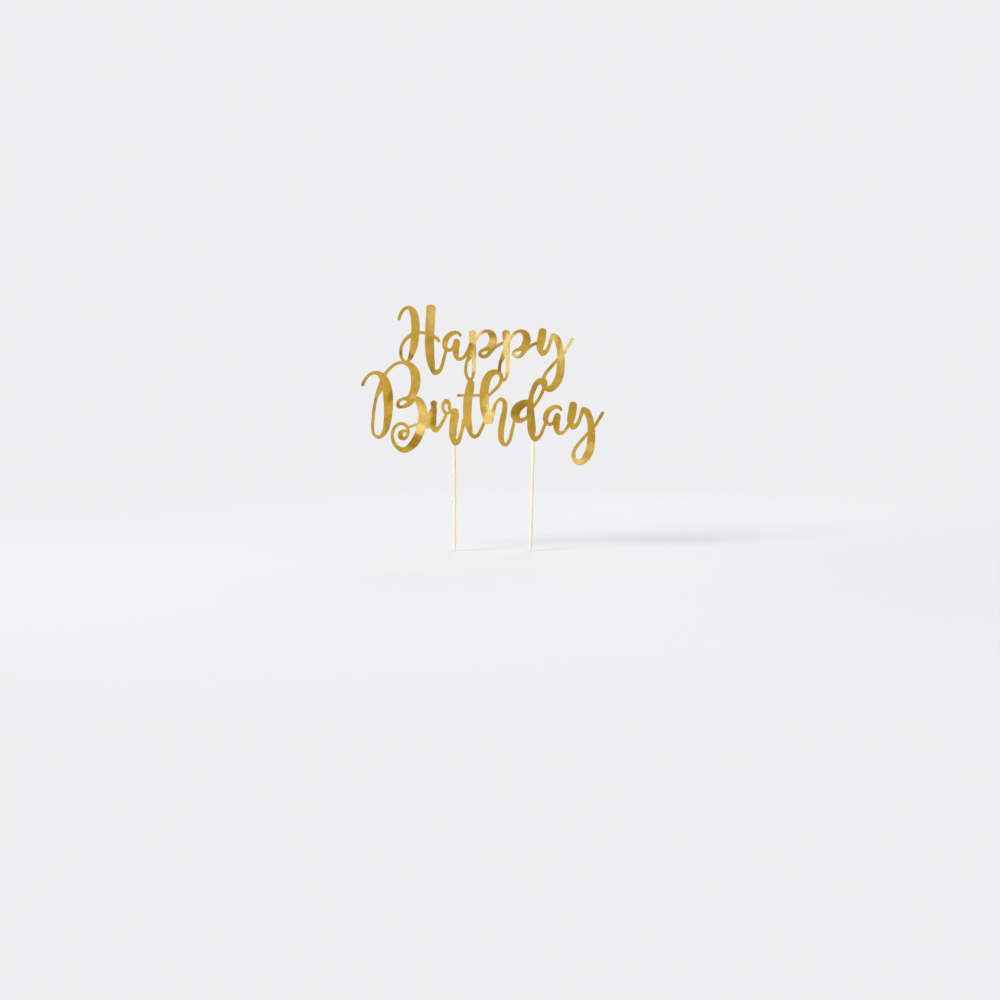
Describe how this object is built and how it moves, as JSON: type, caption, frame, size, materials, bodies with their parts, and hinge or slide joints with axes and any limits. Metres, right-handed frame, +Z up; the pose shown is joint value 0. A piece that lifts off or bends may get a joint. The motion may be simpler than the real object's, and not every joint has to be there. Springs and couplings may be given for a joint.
{
  "type": "cake topper",
  "caption": "Brush-lettered birthday greeting die-cut from gold mirror card, hot-glued to round wooden sticks that push into the top of a cake.",
  "frame": {"origin": "midway between the two sticks, on their axes, at the level of the cake's surface", "axes": "+X along the lettering, +Z up, -Y towards the reader"},
  "size_m": [0.2259, 0.0036, 0.2298],
  "materials": {
    "gold_foil": "polished",
    "white_board": "matte",
    "stick_wood": "matte",
    "glue": "satin"
  },
  "bodies": {
    "root": {"lettering_board": "white_board", "gold_foil": "gold_foil", "left_stick": "stick_wood", "right_stick": "stick_wood", "left_glue_bead": "glue", "right_glue_bead": "glue"}
  },
  "joints": []
}
